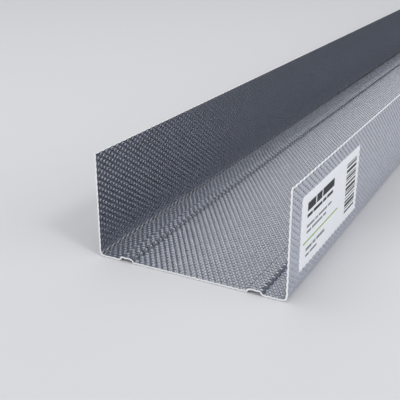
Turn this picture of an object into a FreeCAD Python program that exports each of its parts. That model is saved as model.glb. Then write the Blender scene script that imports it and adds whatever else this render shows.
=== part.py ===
# Drywall track: a U channel roll-formed from one strip of galvanised steel.
# Two shallow stiffening ribs run along the web, and a paper label is stuck to one flange.
# X runs along the track, Y across the web and Z up, in millimetres.
# The origin is the middle of the underside, and the front end is the one toward -X.

import FreeCAD
import Part
import Sketcher
import os

PARTS_FOLDER = "parts"

# Driving dimensions in millimetres: alias, value, meaning
DIMENSIONS = [
    ("track_length", 2000.0, "length the stock is cut to"),
    ("web_width", 75.0, "across the outer faces of the flanges"),
    ("flange_height", 40.0, "underside to the flange tips"),
    ("gauge", 0.6, "thickness of the steel strip"),
    ("bend_radius", 1.6, "inside radius between web and flange"),
    ("rib_inset", 12.0, "outer face of a flange to the middle of the rib beside it"),
    ("rib_width", 5.3, "width of a rib at its foot, on the underside"),
    ("rib_crown", 3.8, "width of a rib at its flat top, on the underside"),
    ("rib_rise", 1.15, "how far a rib is pressed up from the web"),
    ("rib_radius", 0.3, "inside radius of a rib's four bends"),
    ("label_length", 64.5, "label, along the track"),
    ("label_height", 27.0, "label, up the flange"),
    ("label_thickness", 0.1, "paper and adhesive together"),
    ("label_setback", 9.5, "front end of the track to the label"),
    ("label_drop", 6.4, "flange tip to the label's top edge"),
]

# How near an edge has to be to a corner of the section to count as lying on it
CORNER_REACH = 0.001

# Ends of a sketch line, and the sketch's own origin and horizontal axis
START = 1
END = 2
SKETCH_ORIGIN = (-1, START)
SKETCH_AXIS = -1


def make_sheet(doc):
    """The spreadsheet that holds the driving dimensions, one aliased cell each."""
    sheet = doc.addObject("Spreadsheet::Sheet", "dims")
    for row, (alias, value, meaning) in enumerate(DIMENSIONS, start=1):
        sheet.set(f"A{row}", meaning)
        sheet.set(f"B{row}", str(value))
        sheet.setAlias(f"B{row}", alias)
    doc.recompute()
    return sheet


def origin_plane(body, role):
    """One of the body's own base planes."""
    return next(item for item in body.Origin.OriginFeatures if item.Role == role)


def section_corners(sheet):
    """Sharp corners of half the section, as (y, z), round from the middle of the underside."""
    half_web = sheet.web_width / 2
    flange_skin = half_web - sheet.gauge
    rib_middle = half_web - sheet.rib_inset
    foot = sheet.rib_width / 2
    crown = sheet.rib_crown / 2
    # The upper skin of a rib is wider than the lower one by this much on each side.
    wall_run = foot - crown
    wall_length = (wall_run**2 + sheet.rib_rise**2) ** 0.5
    spread = sheet.gauge * (wall_length - wall_run) / sheet.rib_rise
    rib_top = sheet.rib_rise + sheet.gauge
    return {
        "middle_under": (0, 0),
        "inner_foot_under": (rib_middle - foot, 0),
        "inner_crown_under": (rib_middle - crown, sheet.rib_rise),
        "outer_crown_under": (rib_middle + crown, sheet.rib_rise),
        "outer_foot_under": (rib_middle + foot, 0),
        "bend_outside": (half_web, 0),
        "tip_outside": (half_web, sheet.flange_height),
        "tip_inside": (flange_skin, sheet.flange_height),
        "bend_inside": (flange_skin, sheet.gauge),
        "outer_foot": (rib_middle + foot + spread, sheet.gauge),
        "outer_crown": (rib_middle + crown + spread, rib_top),
        "inner_crown": (rib_middle - crown - spread, rib_top),
        "inner_foot": (rib_middle - foot - spread, sheet.gauge),
        "middle": (0, sheet.gauge),
    }


def sketch_half_section(body, corners):
    """Half of the folded strip with sharp corners, every size tied to the sheet."""
    sketch = body.newObject("Sketcher::SketchObject", "half_section")
    sketch.AttachmentSupport = [(origin_plane(body, "YZ_Plane"), "")]
    sketch.MapMode = "FlatFace"

    # Each line is called by the corner it starts from.
    names = list(corners)
    followers = names[1:] + names[:1]
    line = {}
    for name, follower in zip(names, followers):
        start = FreeCAD.Vector(*corners[name], 0)
        end = FreeCAD.Vector(*corners[follower], 0)
        line[name] = sketch.addGeometry(Part.LineSegment(start, end), False)

    def add(kind, *where):
        sketch.addConstraint(Sketcher.Constraint(kind, *where))

    def size(name, expression, kind, *where):
        value = float(sketch.evalExpression(expression))
        index = sketch.addConstraint(Sketcher.Constraint(kind, *where, value))
        sketch.renameConstraint(index, name)
        sketch.setExpression(f"Constraints.{name}", expression)

    def at(corner):
        return (line[corner], START)

    for name, follower in zip(names, followers):
        add("Coincident", line[name], END, *at(follower))
    for name in ("middle_under", "inner_crown_under", "outer_foot_under", "tip_outside"):
        add("Horizontal", line[name])
    for name in ("bend_inside", "outer_crown", "inner_foot"):
        add("Horizontal", line[name])
    for name in ("bend_outside", "tip_inside", "middle"):
        add("Vertical", line[name])
    add("Coincident", *at("middle_under"), *SKETCH_ORIGIN)
    add("PointOnObject", *at("outer_foot_under"), SKETCH_AXIS)

    # Web and flange
    size("half_web", "dims.web_width / 2", "DistanceX", *SKETCH_ORIGIN, *at("bend_outside"))
    size("flange", "dims.flange_height", "DistanceY", *at("bend_outside"), *at("tip_outside"))
    size("tip_gauge", "dims.gauge", "DistanceX", *at("tip_inside"), *at("tip_outside"))
    size("web_gauge", "dims.gauge", "DistanceY", *at("middle_under"), *at("middle"))
    size("edge_gauge", "dims.gauge", "DistanceY", *at("bend_outside"), *at("bend_inside"))

    # Rib, the same on both of its sides
    size("rib_width", "dims.rib_width", "DistanceX", *at("inner_foot_under"), *at("outer_foot_under"))
    size("rib_crown", "dims.rib_crown", "DistanceX", *at("inner_crown_under"), *at("outer_crown_under"))
    size("rib_rise", "dims.rib_rise", "DistanceY", *at("inner_foot_under"), *at("inner_crown_under"))
    size("rib_place", "dims.rib_inset - dims.rib_width / 2", "DistanceX",
         *at("outer_foot_under"), *at("bend_outside"))
    add("Equal", line["inner_foot_under"], line["outer_crown_under"])
    add("Parallel", line["inner_foot_under"], line["inner_crown"])
    add("Parallel", line["outer_crown_under"], line["outer_foot"])
    size("crown_gauge", "dims.gauge", "DistanceY", *at("inner_crown_under"), *at("inner_crown"))
    size("inner_wall_gauge", "dims.gauge", "Distance", *at("inner_foot"), line["inner_foot_under"])
    size("outer_wall_gauge", "dims.gauge", "Distance", *at("outer_foot"), line["outer_crown_under"])
    return sketch


def edges_on(shape, corners):
    """Names of the edges along the track that lie on these corners, in both halves of the section."""
    found = []
    for number, edge in enumerate(shape.Edges, start=1):
        box = edge.BoundBox
        if max(box.YLength, box.ZLength) > CORNER_REACH:
            continue
        place = edge.Vertexes[0]
        for y, z in corners:
            if max(abs(abs(place.Y) - y), abs(place.Z - z)) < CORNER_REACH:
                found.append(f"Edge{number}")
    return found


def round_bends(body, name, corners, radius):
    """Round the strip's bends along these corners."""
    base = body.Tip
    fillet = body.newObject("PartDesign::Fillet", name)
    fillet.Base = (base, edges_on(base.Shape, corners))
    fillet.setExpression("Radius", radius)
    body.Tip = fillet
    body.Document.recompute()


def make_track(doc, sheet):
    """The folded strip: half a section padded along X and mirrored, then every bend rounded."""
    body = doc.addObject("PartDesign::Body", "track")
    corners = section_corners(sheet)
    half_section = sketch_half_section(body, corners)
    doc.recompute()

    half = body.newObject("PartDesign::Pad", "half_track")
    half.Profile = half_section
    half.SideType = "Symmetric"
    half.setExpression("Length", "dims.track_length")
    doc.recompute()

    whole = body.newObject("PartDesign::Mirrored", "both_halves")
    whole.Originals = [half]
    whole.MirrorPlane = (origin_plane(body, "XZ_Plane"), [""])
    body.Tip = whole
    doc.recompute()

    # The inside and the outside of a bend share a centre, which keeps the gauge constant.
    def bend(name, radius, *at_corners):
        round_bends(body, name, [corners[corner] for corner in at_corners], radius)

    bend("flange_bend_outside", "dims.bend_radius + dims.gauge", "bend_outside")
    bend("flange_bend_inside", "dims.bend_radius", "bend_inside")
    bend("rib_feet_outside", "dims.rib_radius + dims.gauge", "inner_foot_under", "outer_foot_under")
    bend("rib_feet_inside", "dims.rib_radius", "inner_foot", "outer_foot")
    bend("rib_crown_outside", "dims.rib_radius + dims.gauge", "inner_crown", "outer_crown")
    bend("rib_crown_inside", "dims.rib_radius", "inner_crown_under", "outer_crown_under")
    return body


def make_label(doc):
    """The paper label, stuck on the outer face of the flange toward -Y, near the front end."""
    label = doc.addObject("Part::Box", "label")
    label.setExpression("Length", "dims.label_length")
    label.setExpression("Width", "dims.label_thickness")
    label.setExpression("Height", "dims.label_height")
    label.setExpression("Placement.Base.x", "dims.label_setback - dims.track_length / 2")
    label.setExpression("Placement.Base.y", "-dims.web_width / 2 - dims.label_thickness")
    label.setExpression("Placement.Base.z", "dims.flange_height - dims.label_drop - dims.label_height")
    doc.recompute()
    return label


def check(doc, pieces):
    """Stop on a feature that failed or a piece that is not one sound solid."""
    for item in doc.Objects:
        if "Invalid" in item.State or "Error" in item.State:
            raise RuntimeError(f"{item.Name} did not compute: {item.State}")
    for piece in pieces:
        shape = piece.Shape
        if shape.isNull() or not shape.isValid() or len(shape.Solids) != 1:
            raise RuntimeError(f"{piece.Label} is not one sound solid")


def main():
    doc = FreeCAD.newDocument("drywall_track")
    sheet = make_sheet(doc)
    track = make_track(doc, sheet)
    label = make_label(doc)
    doc.recompute()
    pieces = [track, label]
    check(doc, pieces)
    os.makedirs(PARTS_FOLDER, exist_ok=True)
    for piece in pieces:
        piece.Shape.exportStep(f"{PARTS_FOLDER}/{piece.Label}.step")


main()
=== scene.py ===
"""Drywall track: the knurl pressed into its strip, the printed label, the floor, light and camera.

All lengths are in metres, in the CAD frame: X along the track, Y across the web, Z up.
"""

import math

import bpy
import numpy as np
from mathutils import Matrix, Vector


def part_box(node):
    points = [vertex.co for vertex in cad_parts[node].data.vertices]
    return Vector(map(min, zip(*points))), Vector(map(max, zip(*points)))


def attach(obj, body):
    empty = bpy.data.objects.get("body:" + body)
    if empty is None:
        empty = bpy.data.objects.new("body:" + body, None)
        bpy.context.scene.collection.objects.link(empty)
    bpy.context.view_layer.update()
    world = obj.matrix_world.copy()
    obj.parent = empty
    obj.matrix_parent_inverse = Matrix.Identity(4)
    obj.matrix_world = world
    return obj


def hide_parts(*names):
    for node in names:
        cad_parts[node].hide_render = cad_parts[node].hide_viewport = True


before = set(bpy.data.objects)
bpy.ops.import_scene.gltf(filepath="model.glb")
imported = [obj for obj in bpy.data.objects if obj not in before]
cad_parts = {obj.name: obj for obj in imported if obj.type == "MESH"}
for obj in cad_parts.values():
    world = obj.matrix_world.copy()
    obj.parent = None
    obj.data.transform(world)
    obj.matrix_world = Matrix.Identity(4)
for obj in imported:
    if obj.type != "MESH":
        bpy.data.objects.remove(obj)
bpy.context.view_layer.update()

MM = 0.001

# The folded strip: its outer sizes come from the frame, and the rest repeats the CAD source
TRACK_LOW, TRACK_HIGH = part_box("track")
HALF_WEB = TRACK_HIGH.y
FLANGE_HEIGHT = TRACK_HIGH.z
GAUGE = 0.6 * MM
BEND_RADIUS = 1.6 * MM
RIB_INSET = 12.0 * MM
RIB_WIDTH = 5.3 * MM
RIB_CROWN = 3.8 * MM
RIB_RISE = 1.15 * MM
RIB_RADIUS = 0.3 * MM

# The knurl: half a wave is one bump or one dent, and the sheet keeps its gauge through both
HALF_WAVE_LONG = 1.735 * MM
HALF_WAVE_ACROSS = 1.16 * MM
KNURL_HEIGHT = 0.21 * MM

# The share of a half wave at which the ends are cut
CUT_PHASE = 0.25

# Half waves on each side of a rib, and the share of the knurl that the rolls leave in a flange bend
RIB_WAVES = 2
BEND_RELIEF = 0.4

# Rows on each bend and wall of a rib's side, and rows for each half wave of a flange bend
RIB_STEPS = 2
BEND_STEPS = 3

TRACK_PIECES = 4

# The label follows a share of the knurl's depth, more of it along its edges
LABEL_LOW, LABEL_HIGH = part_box("label")
LABEL_DRAPE = 0.12
EDGE_DRAPE = 1.0
EDGE_WIDTH = 1.5 * MM
LABEL_STEPS = 4

# The label's print, in millimetres from its upper front corner
TEXT_LEFT = 5.0
WORD_GAP = 0.9
BARCODE_LEFT = 48.0
BARCODE_TOP = 3.2
BAR_LENGTH = 12.4
BAR_COUNT = 15

# Ink, top, height and word widths of each line of text
TEXT_LINES = [
    ("dark", 3.4, 3.0, (8.0, 5.5, 12.5)),
    ("dark", 7.6, 1.2, (5.0, 9.0, 3.5, 6.5)),
    ("grey", 11.6, 0.9, (7.5, 2.6, 9.0, 4.0)),
    ("grey", 13.7, 0.9, (4.5, 10.5, 3.2)),
    ("grey", 20.0, 1.1, (6.0, 3.0, 8.5)),
    ("grey", 22.4, 0.9, (3.5, 7.0)),
]

# Left, top, right and bottom of a printed rule
GREEN_RULE = (2.0, 17.2, 39.0, 17.8)

# Width of one module, and modules in each bar and in the gap after it, over and over
BAR_MODULE = 0.42
BAR_WIDTHS = (1, 2, 3, 1, 2)
GAP_WIDTHS = (1, 2, 2, 1)

# Decimals to which the print's edges are rounded, so that edges in line count once
STOP_DIGITS = 9

# Bands of the bake map: the upper skin, the lower skin and the four rims
UPPER_BAND = (0.0, 0.47)
LOWER_BAND = (0.48, 0.95)
RIM_BANDS = ((0.955, 0.96), (0.965, 0.97), (0.975, 0.98), (0.985, 0.99))

# Looks: the ranges of colour and roughness, which follow noise between its usual low and high
NOISE_LOW = 0.3
NOISE_HIGH = 0.7
STEEL_COLOURS = ((0.595, 0.623, 0.695), (0.65, 0.68, 0.76))
STEEL_ROUGHNESS = (0.225, 0.27)
# The cut edge's near-white colour is partly bare steel and partly a painted highlight
CUT_COLOURS_WITH_PAINTED_HIGHLIGHT = ((0.84, 0.85, 0.87), (0.92, 0.93, 0.94))
CUT_ROUGHNESS = (0.4, 0.55)
CUT_METALLIC = 0.2
PAPER_COLOUR = (0.82, 0.845, 0.885)
DARK_INK = (0.028, 0.030, 0.034)
GREY_INK = (0.20, 0.21, 0.23)
GREEN_INK = (0.25, 0.42, 0.035)
PAPER_SHADE = 0.96
PAPER_ROUGHNESS = (0.55, 0.68)
PAPER_SHINE = 0.3
PAPER_GRAIN = 0.01 * MM
GRAIN_STRENGTH = 0.5

# The camera, in front of the labelled end and to its right; angles in degrees, lens in millimetres
CAMERA_PLACE = Vector((TRACK_LOW.x - 0.19688, -0.10884, 0.12015))
CAMERA_HEADING = 27.838
CAMERA_DIP = 21.960
CAMERA_LENS = 65.04

# The floor, with painted shade for the light's falloff: its colour darkens between two distances from
# the camera
FLOOR_REACH = 400
FLOOR_NEAR = 0.4
FLOOR_FAR = 1.05
FLOOR_COLOUR = (0.665, 0.67, 0.695)
FLOOR_PAINTED_FALLOFF_COLOUR = (0.585, 0.59, 0.612)
FLOOR_ROUGHNESS = 0.9

# Light of the dim room and of a pale strip along the horizon, whose top is in degrees
ROOM_LIGHT = 0.005
HORIZON_LIGHT = 0.62
HORIZON_TOP = 1.5

# Azimuth, elevation, inner and outer radius, all in degrees, and strength of each soft box
SOFT_BOXES = [
    (12, 36, 8, 24, 0.8),
    (32, 36, 8, 24, 0.5),
    (15, 55, 10, 30, 0.05),
    (60, 50, 10, 30, 0.22),
    (-24, 30, 5, 16, 0.08),
    (-35, 17, 3, 10, 0.6),
    (-56, 24, 4, 17, 1.2),
    (-70, 20, 10, 30, 0.45),
    (-95, 20, 10, 30, 0.6),
    (180, 30, 20, 50, 0.35),
]

# Azimuth, elevation and spread, all in degrees, and strength of each sun
SUNS = {
    "key": (-109.3, 44.6, 12, 0.56),
    "top": (0, 90, 90, 1.05),
    "front": (180, 25, 60, 1.05),
    "left": (100, 45, 60, 0.56),
    "right": (-100, 22, 60, 0.55),
}


def strip_path():
    """Rows across half the strip, from the middle of the web to a flange tip.

    Each row is (y, z, normal y, normal z, phase, relief) on the middle of the gauge. The normal points
    into the channel, the phase counts half waves of the knurl from the middle of the web, and the
    relief is the share of the knurl's height.
    """
    slope = math.atan2(RIB_RISE, (RIB_WIDTH - RIB_CROWN) / 2)
    rib_bend = RIB_RADIUS + GAUGE / 2
    flange_bend = BEND_RADIUS + GAUGE / 2
    tangent = rib_bend * math.tan(slope / 2)
    spread = GAUGE / 2 * math.tan(slope / 2)
    rib_middle = HALF_WEB - RIB_INSET
    wall = RIB_RISE / math.sin(slope) - 2 * tangent
    foot = RIB_WIDTH / 2 + spread + tangent
    crown = RIB_CROWN + 2 * (spread - tangent)
    edge_end = HALF_WEB - GAUGE - BEND_RADIUS

    place = [0.0, GAUGE / 2]
    heading = 0.0
    phase = 0.0
    rows = [(*place, 0.0, 1.0, phase, 1.0)]

    def line(length, waves, steps):
        """A straight stretch that takes up this many half waves."""
        nonlocal phase
        for _ in range(steps):
            place[0] += math.cos(heading) * length / steps
            place[1] += math.sin(heading) * length / steps
            phase += waves / steps
            rows.append((*place, -math.sin(heading), math.cos(heading), phase, 1.0))

    def arc(radius, turn, waves, steps, relief=1.0):
        """A bend; its turn is positive toward the inside of the channel."""
        nonlocal heading, phase
        chord = 2 * radius * math.sin(abs(turn) / steps / 2)
        for _ in range(steps):
            heading += turn / steps / 2
            place[0] += math.cos(heading) * chord
            place[1] += math.sin(heading) * chord
            heading += turn / steps / 2
            phase += waves / steps
            rows.append((*place, -math.sin(heading), math.cos(heading), phase, relief))

    def waves_in(length):
        return max(1, round(length / HALF_WAVE_ACROSS))

    def flat(length):
        """A straight stretch with a row at each bump and dent."""
        line(length, waves_in(length), waves_in(length))

    def rib_side(first, second):
        """A rib's wall with a bend at each end."""
        bend = rib_bend * slope
        whole = 2 * bend + wall
        arc(rib_bend, first, RIB_WAVES * bend / whole, RIB_STEPS)
        line(wall, RIB_WAVES * wall / whole, RIB_STEPS)
        arc(rib_bend, second, RIB_WAVES * bend / whole, RIB_STEPS)

    flat(rib_middle - foot)
    rib_side(slope, -slope)
    flat(crown)
    rib_side(-slope, slope)
    flat(edge_end - rib_middle - foot)
    bend_waves = waves_in(BEND_RADIUS * math.pi / 2)
    arc(flange_bend, math.pi / 2, bend_waves, BEND_STEPS * bend_waves, BEND_RELIEF)
    flat(FLANGE_HEIGHT - GAUGE - BEND_RADIUS)
    return np.array(rows)


def whole_path():
    """Rows across the whole strip, from the tip toward -Y to the tip toward +Y."""
    half = strip_path()
    # The place and the normal in y and the phase change sign
    mirrored = half[:0:-1] * np.array([-1, 1, -1, 1, -1, 1])
    return np.concatenate([mirrored, half])


def columns():
    """Places along the track and their knurl phases, cut between a bump and a dent at both ends."""
    length = TRACK_HIGH.x - TRACK_LOW.x
    waves = round(length / HALF_WAVE_LONG) - 2 * CUT_PHASE
    last = CUT_PHASE + waves
    inner = np.arange(math.ceil(CUT_PHASE), math.floor(last) + 1)
    phases = np.concatenate([[CUT_PHASE], inner, [last]])
    places = TRACK_LOW.x + (phases - CUT_PHASE) * length / waves
    return places, phases


def triangle_wave(phase):
    """1 at even phases, -1 at odd ones and straight between."""
    return 2 * np.abs(np.mod(phase, 2) - 1) - 1


def grid_faces(points, tops):
    """Two triangles for each quad of a grid of vertex numbers, folded along its higher diagonal."""
    a, b = points[:-1, :-1], points[1:, :-1]
    c, d = points[1:, 1:], points[:-1, 1:]
    rising = (tops[:-1, :-1] + tops[1:, 1:]) >= (tops[1:, :-1] + tops[:-1, 1:])
    one = np.where(rising[..., None], np.stack([a, b, c], -1), np.stack([a, b, d], -1))
    two = np.where(rising[..., None], np.stack([a, c, d], -1), np.stack([b, c, d], -1))
    return np.stack([one, two], 2).reshape(-1, 3)


def grid_places(rows, count, band):
    """Where the vertices of a skin lie on the bake map."""
    u, v = np.meshgrid(np.linspace(0, 1, rows), np.linspace(*band, count), indexing="ij")
    return np.stack([u, v], -1).reshape(-1, 2)


def rim(upper, lower, band, turned):
    """Triangles that close a sheet along one edge, and where they lie on the bake map."""
    along = np.linspace(0, 1, len(upper))
    quads = np.stack([upper[:-1], lower[:-1], lower[1:], upper[1:]], -1)
    left = np.stack([along[:-1], along[:-1], along[1:], along[1:]], -1)
    height = np.broadcast_to([band[1], band[0], band[0], band[1]], left.shape)
    places = np.stack([left, height], -1)
    order = [0, 2, 1, 0, 3, 2] if turned else [0, 1, 2, 0, 2, 3]
    return quads[:, order].reshape(-1, 3), places[:, order].reshape(-1, 3, 2)


def sheet_piece(name, upper, lower, tops, upper_slots, materials, rim_slot):
    """A closed sheet from its upper and lower skin, two grids of points with the same count.

    The upper skin's normal is its first grid direction crossed with the second. Each of its triangles
    has its own material slot; the lower skin takes slot 0.
    """
    rows, count = upper.shape[:2]
    top = np.arange(rows * count).reshape(rows, count)
    bottom = top + rows * count
    skin = grid_faces(top, tops)
    back = grid_faces(bottom, tops)[:, ::-1]
    upper_places = grid_places(rows, count, UPPER_BAND)
    lower_places = grid_places(rows, count, LOWER_BAND)
    skin_places = np.concatenate([upper_places, lower_places])
    edges = [
        rim(top[:, 0], bottom[:, 0], RIM_BANDS[0], False),
        rim(top[:, -1], bottom[:, -1], RIM_BANDS[1], True),
        rim(top[0], bottom[0], RIM_BANDS[2], True),
        rim(top[-1], bottom[-1], RIM_BANDS[3], False),
    ]
    rims = np.concatenate([triangles for triangles, _ in edges])
    faces = np.concatenate([skin, back, rims])
    places = np.concatenate([skin_places[skin], skin_places[back], *[place for _, place in edges]])
    slots = np.concatenate([upper_slots, np.zeros(len(back)), np.full(len(rims), rim_slot)])
    points = np.concatenate([upper.reshape(-1, 3), lower.reshape(-1, 3)])

    mesh = bpy.data.meshes.new(name)
    mesh.vertices.add(len(points))
    mesh.vertices.foreach_set("co", points.astype(np.float32).ravel())
    mesh.loops.add(faces.size)
    mesh.loops.foreach_set("vertex_index", faces.astype(np.int32).ravel())
    mesh.polygons.add(len(faces))
    mesh.polygons.foreach_set("loop_start", np.arange(0, faces.size, 3, dtype=np.int32))
    mesh.update(calc_edges=True)
    for material in materials:
        mesh.materials.append(material)
    mesh.polygons.foreach_set("material_index", slots.astype(np.int32))
    mesh.uv_layers.new(name="OFBake").data.foreach_set("uv", places.astype(np.float32).ravel())
    mesh.validate()
    mesh.shade_flat()
    piece = bpy.data.objects.new(name, mesh)
    bpy.context.scene.collection.objects.link(piece)
    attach(piece, "root")
    return piece


def add_attribute(piece, name, values):
    """A vector at each vertex of a piece, for its material."""
    attribute = piece.data.attributes.new(name, "FLOAT_VECTOR", "POINT")
    attribute.data.foreach_set("vector", values.astype(np.float32).ravel())


def make_track(path, places, phases):
    """The knurled strip in several lengths, sunk so that its bumps just reach the plain faces.

    Its material reads the phases, the relief and the plain strip's normal at each vertex.
    """
    materials = [steel(), cut_steel()]
    y, z, normal_y, normal_z, across, relief = path.T
    wave = triangle_wave(phases)[:, None] * triangle_wave(across)
    rise = KNURL_HEIGHT * (1 + wave * relief)
    ends = np.linspace(0, len(places) - 1, TRACK_PIECES + 1).round().astype(int)
    for number, (start, end) in enumerate(zip(ends[:-1], ends[1:]), start=1):
        part = slice(start, end + 1)
        skins = []
        for side in (GAUGE / 2, -GAUGE / 2):
            out = rise[part] + side
            points = np.empty((*out.shape, 3))
            points[..., 0] = places[part, None]
            points[..., 1] = y + normal_y * out
            points[..., 2] = z + normal_z * out
            # The tips are sheared level
            points[:, [0, -1], 2] = FLANGE_HEIGHT
            skins.append(points)
        slots = np.zeros(2 * (out.shape[0] - 1) * (out.shape[1] - 1))
        piece = sheet_piece(f"track_{number}", *skins, rise[part], slots, materials, rim_slot=1)
        knurl = np.empty((2, *out.shape, 3))
        knurl[..., 0] = phases[part, None]
        knurl[..., 1] = across
        knurl[..., 2] = np.array([1, -1])[:, None, None] * relief
        plain = np.zeros_like(knurl)
        plain[..., 1] = normal_y
        plain[..., 2] = normal_z
        # The lower skin faces the other way
        plain[1] *= -1
        add_attribute(piece, "knurl", knurl)
        add_attribute(piece, "plain_normal", plain)
        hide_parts("track")


def word_boxes(ink, top, height, widths):
    """A row of plain blocks, where a label has a line of text."""
    left = TEXT_LEFT
    boxes = []
    for width in widths:
        boxes.append((ink, left, top, left + width, top + height))
        left += width + WORD_GAP
    return boxes


def bar_boxes():
    """Bars that lie along the track, one below another."""
    top = BARCODE_TOP
    boxes = []
    for number in range(BAR_COUNT):
        height = BAR_MODULE * BAR_WIDTHS[number % len(BAR_WIDTHS)]
        boxes.append(("dark", BARCODE_LEFT, top, BARCODE_LEFT + BAR_LENGTH, top + height))
        top += height + BAR_MODULE * GAP_WIDTHS[number % len(GAP_WIDTHS)]
    return boxes


def print_boxes():
    """The label's print: ink and left, top, right and bottom of each block."""
    boxes = [("green", *GREEN_RULE)]
    for text_line in TEXT_LINES:
        boxes += word_boxes(*text_line)
    return boxes + bar_boxes()


def spaced(low, high, step, stops):
    """Places from low to high about a step apart, with every stop among them."""
    stops = sorted({round(stop, STOP_DIGITS) for stop in (low, high, *stops)})
    places = [stops[0]]
    for start, end in zip(stops[:-1], stops[1:]):
        count = max(1, round((end - start) / step))
        places.extend(start + (end - start) * (np.arange(count) + 1) / count)
    return np.array(places)


def outer_depth(along, across):
    """How deep the strip's outer skin lies below its bumps, where the knurl has these phases."""
    even = (np.floor(along) + np.floor(across)) % 2 == 0
    along, across = along % 1, across % 1
    from_groove = np.where(even, np.abs(along - across), np.abs(along + across - 1))
    return 2 * KNURL_HEIGHT * (1 - from_groove)


def edge_distance(places):
    """How far each place is from the nearer end of its row."""
    return np.minimum(places - places[0], places[-1] - places)


def make_label(path, places, phases):
    """The paper label, with the knurl under it showing through as a faint relief."""
    inks = ["paper", "dark", "grey", "green"]
    materials = [
        paper("label_paper", PAPER_COLOUR),
        paper("ink_dark", DARK_INK),
        paper("ink_grey", GREY_INK),
        paper("ink_green", GREEN_INK),
    ]
    boxes = [(ink, *(MM * edge for edge in edges)) for ink, *edges in print_boxes()]
    x_stops = [LABEL_LOW.x + edge for _, left, _, right, _ in boxes for edge in (left, right)]
    z_stops = [LABEL_HIGH.z - edge for _, _, top, _, bottom in boxes for edge in (top, bottom)]
    x = spaced(LABEL_LOW.x, LABEL_HIGH.x, HALF_WAVE_LONG / LABEL_STEPS, x_stops)
    z = spaced(LABEL_LOW.z, LABEL_HIGH.z, HALF_WAVE_ACROSS / LABEL_STEPS, z_stops)

    # Rows of the labelled flange, from its foot up
    _, row_z, normal_y, _, row_phases, _ = path[::-1].T
    upright = np.isclose(normal_y, 1)
    along = np.interp(x, places, phases)
    across = np.interp(z, row_z[upright], row_phases[upright])
    depth = outer_depth(along[:, None], across)
    front = np.empty((len(x), len(z), 3))
    front[..., 0] = x[:, None]
    inset = np.minimum(edge_distance(x)[:, None], edge_distance(z))
    drape = np.interp(inset, (0, EDGE_WIDTH), (EDGE_DRAPE, LABEL_DRAPE))
    front[..., 1] = LABEL_LOW.y + drape * depth
    front[..., 2] = z
    back = front.copy()
    back[..., 1] += LABEL_HIGH.y - LABEL_LOW.y

    x_middle = (x[:-1] + x[1:]) / 2 - LABEL_LOW.x
    z_middle = LABEL_HIGH.z - (z[:-1] + z[1:]) / 2
    slots = np.zeros((len(x) - 1, len(z) - 1))
    for ink, left, top, right, bottom in boxes:
        inside_x = (x_middle > left) & (x_middle < right)
        inside_z = (z_middle > top) & (z_middle < bottom)
        slots[np.ix_(inside_x, inside_z)] = inks.index(ink)
    slots = np.repeat(slots, 2)
    piece = sheet_piece("label_sheet", front, back, -front[..., 1], slots, materials, rim_slot=0)
    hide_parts("label")


def new_material(name):
    """A material with its node tree and shader."""
    material = bpy.data.materials.new(name)
    material.use_nodes = True
    return material, material.node_tree, material.node_tree.nodes["Principled BSDF"]


def attribute_node(tree, name):
    """The vector that a piece holds at each vertex under this name."""
    node = tree.nodes.new("ShaderNodeAttribute")
    node.attribute_name = name
    return node.outputs["Vector"]


def math_node(tree, operation, *values):
    """The outcome of an operation on numbers or other nodes' outputs."""
    node = tree.nodes.new("ShaderNodeMath")
    node.operation = operation
    for socket, value in zip(node.inputs, values):
        if isinstance(value, (int, float)):
            socket.default_value = value
        else:
            tree.links.new(value, socket)
    return node.outputs["Value"]


def dot_node(tree, vector, direction):
    """How far a vector reaches in a direction."""
    node = tree.nodes.new("ShaderNodeVectorMath")
    node.operation = "DOT_PRODUCT"
    node.inputs[1].default_value = direction
    tree.links.new(vector, node.inputs[0])
    return node.outputs["Value"]


def noise(tree, scale, detail):
    """Noise fixed to the object; its scale counts features in a metre."""
    coords = tree.nodes.new("ShaderNodeTexCoord")
    texture = tree.nodes.new("ShaderNodeTexNoise")
    texture.inputs["Scale"].default_value = scale
    texture.inputs["Detail"].default_value = detail
    tree.links.new(coords.outputs["Object"], texture.inputs["Vector"])
    return texture.outputs["Fac"]


def vary_colour(tree, shader, factor, low, high):
    """Let noise lead the colour from low to high."""
    ramp = tree.nodes.new("ShaderNodeValToRGB")
    ramp.color_ramp.elements[0].position = NOISE_LOW
    ramp.color_ramp.elements[0].color = (*low, 1)
    ramp.color_ramp.elements[1].position = NOISE_HIGH
    ramp.color_ramp.elements[1].color = (*high, 1)
    tree.links.new(factor, ramp.inputs["Fac"])
    tree.links.new(ramp.outputs["Color"], shader.inputs["Base Color"])


def vary_roughness(tree, shader, factor, low, high):
    """Let noise lead the roughness from low to high."""
    spread = tree.nodes.new("ShaderNodeMapRange")
    spread.inputs["From Min"].default_value = NOISE_LOW
    spread.inputs["From Max"].default_value = NOISE_HIGH
    spread.inputs["To Min"].default_value = low
    spread.inputs["To Max"].default_value = high
    tree.links.new(factor, spread.inputs["Value"])
    tree.links.new(spread.outputs["Result"], shader.inputs["Roughness"])


def round_knurl(tree, shader):
    """Round the facets of the knurl into smooth bumps and dents."""
    split = tree.nodes.new("ShaderNodeSeparateXYZ")
    tree.links.new(attribute_node(tree, "knurl"), split.inputs["Vector"])
    waves = []
    for output in ("X", "Y"):
        turn = math_node(tree, "MULTIPLY", split.outputs[output], math.pi)
        waves.append(math_node(tree, "COSINE", turn))
    relief = math_node(tree, "MULTIPLY", *waves)
    height = math_node(tree, "MULTIPLY", relief, split.outputs["Z"])
    bump = tree.nodes.new("ShaderNodeBump")
    bump.inputs["Distance"].default_value = KNURL_HEIGHT
    tree.links.new(height, bump.inputs["Height"])
    tree.links.new(attribute_node(tree, "plain_normal"), bump.inputs["Normal"])
    tree.links.new(bump.outputs["Normal"], shader.inputs["Normal"])


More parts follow.
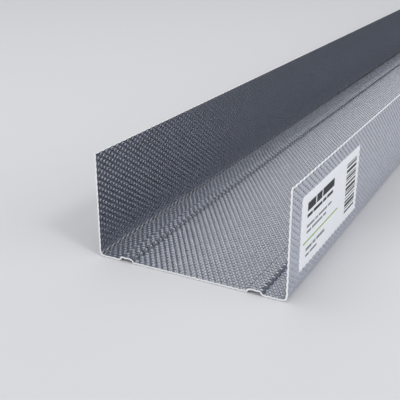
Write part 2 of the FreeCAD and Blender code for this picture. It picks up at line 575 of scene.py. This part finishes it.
def steel():
    """Galvanised sheet: bluish grey zinc with a faint mottle."""
    material, tree, shader = new_material("galvanised_steel")
    shader.inputs["Metallic"].default_value = 1.0
    vary_colour(tree, shader, noise(tree, scale=220, detail=4), *STEEL_COLOURS)
    vary_roughness(tree, shader, noise(tree, scale=700, detail=3), *STEEL_ROUGHNESS)
    round_knurl(tree, shader)
    return material


def cut_steel():
    """The sheared edge of the sheet: bare steel, whose near-white colour is partly a painted
    highlight.
    """
    material, tree, shader = new_material("cut_edge_painted_highlight")
    shader.inputs["Metallic"].default_value = CUT_METALLIC
    # Painted highlight: the near-white colour range stands in for light caught by the edge
    vary_colour(tree, shader, noise(tree, scale=900, detail=3), *CUT_COLOURS_WITH_PAINTED_HIGHLIGHT)
    vary_roughness(tree, shader, noise(tree, scale=2500, detail=2), *CUT_ROUGHNESS)
    return material


def paper(name, colour):
    """Matt label stock, or ink printed on it, with a fine grain."""
    material, tree, shader = new_material(name)
    shader.inputs["Specular IOR Level"].default_value = PAPER_SHINE
    darker = tuple(channel * PAPER_SHADE for channel in colour)
    fibres = noise(tree, scale=2200, detail=5)
    vary_colour(tree, shader, fibres, darker, colour)
    vary_roughness(tree, shader, fibres, *PAPER_ROUGHNESS)
    bump = tree.nodes.new("ShaderNodeBump")
    bump.inputs["Strength"].default_value = GRAIN_STRENGTH
    bump.inputs["Distance"].default_value = PAPER_GRAIN
    tree.links.new(fibres, bump.inputs["Height"])
    tree.links.new(bump.outputs["Normal"], shader.inputs["Normal"])
    return material


def toward(azimuth, elevation=0.0):
    """A unit vector; the azimuth turns from +X toward +Y, in degrees."""
    turn = math.radians(azimuth)
    rise = math.radians(elevation)
    return Vector((math.cos(turn) * math.cos(rise), math.sin(turn) * math.cos(rise), math.sin(rise)))


def make_floor():
    """A pale floor whose colour grows a little darker away from the camera, painted shade for the
    light's falloff.
    """
    mesh = bpy.data.meshes.new("floor")
    reach = FLOOR_REACH
    corners = [(-reach, -reach, 0), (reach, -reach, 0), (reach, reach, 0), (-reach, reach, 0)]
    mesh.from_pydata(corners, [], [(0, 1, 2, 3)])
    floor = bpy.data.objects.new("floor", mesh)
    bpy.context.scene.collection.objects.link(floor)
    material, tree, shader = new_material("floor")
    coords = tree.nodes.new("ShaderNodeTexCoord")
    ahead = toward(CAMERA_HEADING)
    start = ahead.dot(CAMERA_PLACE)
    distance = tree.nodes.new("ShaderNodeMapRange")
    distance.inputs["From Min"].default_value = start + FLOOR_NEAR
    distance.inputs["From Max"].default_value = start + FLOOR_FAR
    tree.links.new(dot_node(tree, coords.outputs["Object"], ahead), distance.inputs["Value"])
    # Painted shade: the colour ramps from the near colour to a darker far colour, in place of the
    # light falling off
    ramp = tree.nodes.new("ShaderNodeValToRGB")
    ramp.color_ramp.elements[0].color = (*FLOOR_COLOUR, 1)
    ramp.color_ramp.elements[1].color = (*FLOOR_PAINTED_FALLOFF_COLOUR, 1)
    tree.links.new(distance.outputs["Result"], ramp.inputs["Fac"])
    tree.links.new(ramp.outputs["Color"], shader.inputs["Base Color"])
    shader.inputs["Roughness"].default_value = FLOOR_ROUGHNESS
    shader.inputs["Specular IOR Level"].default_value = 0.0
    mesh.materials.append(material)


def make_world():
    """A dim room, pale along the horizon, with soft boxes.

    Each soft box is a round glow that fades from its inner to its outer radius.
    """
    world = bpy.data.worlds.new("studio")
    bpy.context.scene.world = world
    world.use_nodes = True
    tree = world.node_tree
    background = tree.nodes["Background"]
    background.inputs["Color"].default_value = (1, 1, 1, 1)
    direction = tree.nodes.new("ShaderNodeTexCoord").outputs["Generated"]
    light = ROOM_LIGHT
    for azimuth, elevation, inner, outer, strength in SOFT_BOXES:
        glow = tree.nodes.new("ShaderNodeMapRange")
        glow.interpolation_type = "SMOOTHSTEP"
        glow.inputs["From Min"].default_value = math.cos(math.radians(outer))
        glow.inputs["From Max"].default_value = math.cos(math.radians(inner))
        glow.inputs["To Max"].default_value = strength
        tree.links.new(dot_node(tree, direction, toward(azimuth, elevation)), glow.inputs["Value"])
        light = math_node(tree, "ADD", light, glow.outputs["Result"])
    height = dot_node(tree, direction, (0, 0, 1))
    low = math_node(tree, "LESS_THAN", height, math.sin(math.radians(HORIZON_TOP)))
    horizon = math_node(tree, "MULTIPLY", low, HORIZON_LIGHT)
    light = math_node(tree, "MAXIMUM", light, horizon)
    tree.links.new(light, background.inputs["Strength"])


def make_lamps():
    """Soft suns for the floor, the label and the cut edges; mirroring surfaces don't show them."""
    for name, (azimuth, elevation, spread, strength) in SUNS.items():
        light = bpy.data.lights.new(name, "SUN")
        light.energy = strength
        light.angle = math.radians(spread)
        lamp = bpy.data.objects.new(name, light)
        lamp.rotation_euler = toward(azimuth, elevation).to_track_quat("Z", "Y").to_euler()
        lamp.visible_glossy = False
        bpy.context.scene.collection.objects.link(lamp)


def make_camera():
    """A camera that looks along its heading and down by its dip."""
    data = bpy.data.cameras.new("camera")
    data.lens = CAMERA_LENS
    camera = bpy.data.objects.new("camera", data)
    camera.location = CAMERA_PLACE
    camera.rotation_euler = (math.radians(90 - CAMERA_DIP), 0, math.radians(CAMERA_HEADING - 90))
    bpy.context.scene.collection.objects.link(camera)
    bpy.context.scene.camera = camera


bpy.context.scene.view_settings.view_transform = "Standard"
strip = whole_path()
column_places, column_phases = columns()
make_track(strip, column_places, column_phases)
make_label(strip, column_places, column_phases)
make_floor()
make_world()
make_lamps()
make_camera()
